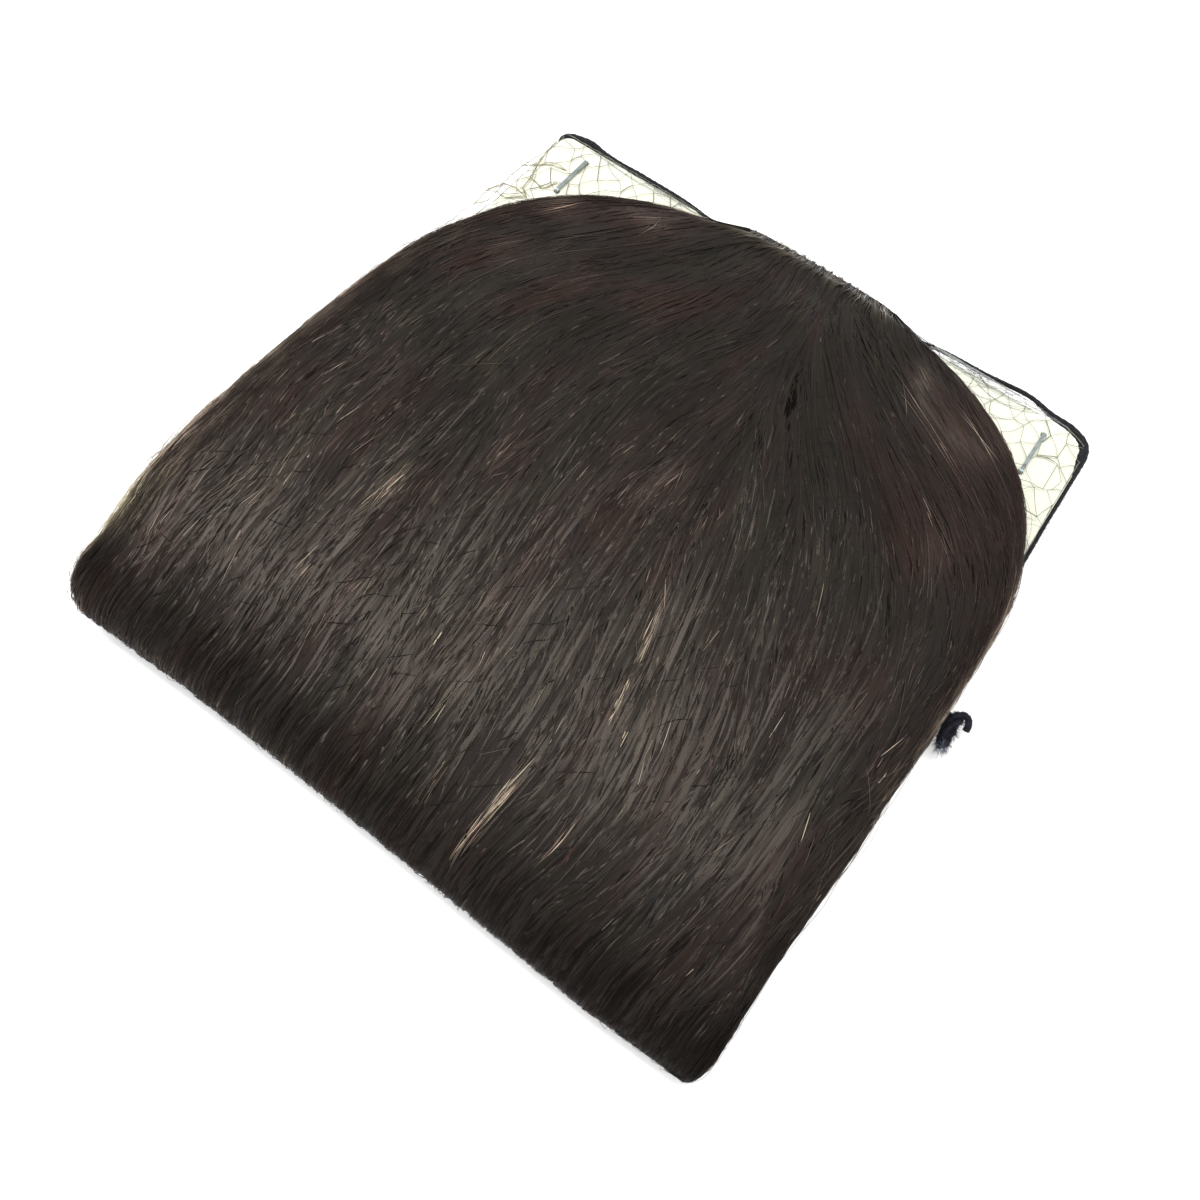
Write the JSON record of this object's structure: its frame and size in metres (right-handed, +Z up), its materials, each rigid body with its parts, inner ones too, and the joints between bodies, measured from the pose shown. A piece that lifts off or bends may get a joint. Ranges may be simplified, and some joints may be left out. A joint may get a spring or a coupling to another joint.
{
  "type": "clip-in bangs on a backing card",
  "caption": "Fan of straight dark hair sewn to a short band, folded round a stiff card under a fine net with an elastic rim, as clip-in bangs are kept before use.",
  "frame": {"origin": "on the table, under the centre of the whole part's box", "axes": "+X across the card to the right, +Y up the card towards the sewn band, +Z up from the table through the hair's face"},
  "size_m": [0.1656, 0.1666, 0.0158],
  "materials": {
    "hair": "straight dark-brown hair with a soft shine",
    "band": "matt sewn band",
    "clip_steel": "dark satin",
    "card": "matt cream",
    "staple_steel": "satin",
    "net": "fine matt thread",
    "elastic": "fuzzy black elastic"
  },
  "bodies": {
    "root": {"hair_fall": "hair", "weft_band": "band", "snap_clip": "clip_steel", "card": "card", "staple_left": "staple_steel", "staple_right": "staple_steel", "net_left": "net", "net_right": "net", "net_elastic": "elastic", "elastic_knot": "elastic"}
  },
  "joints": []
}
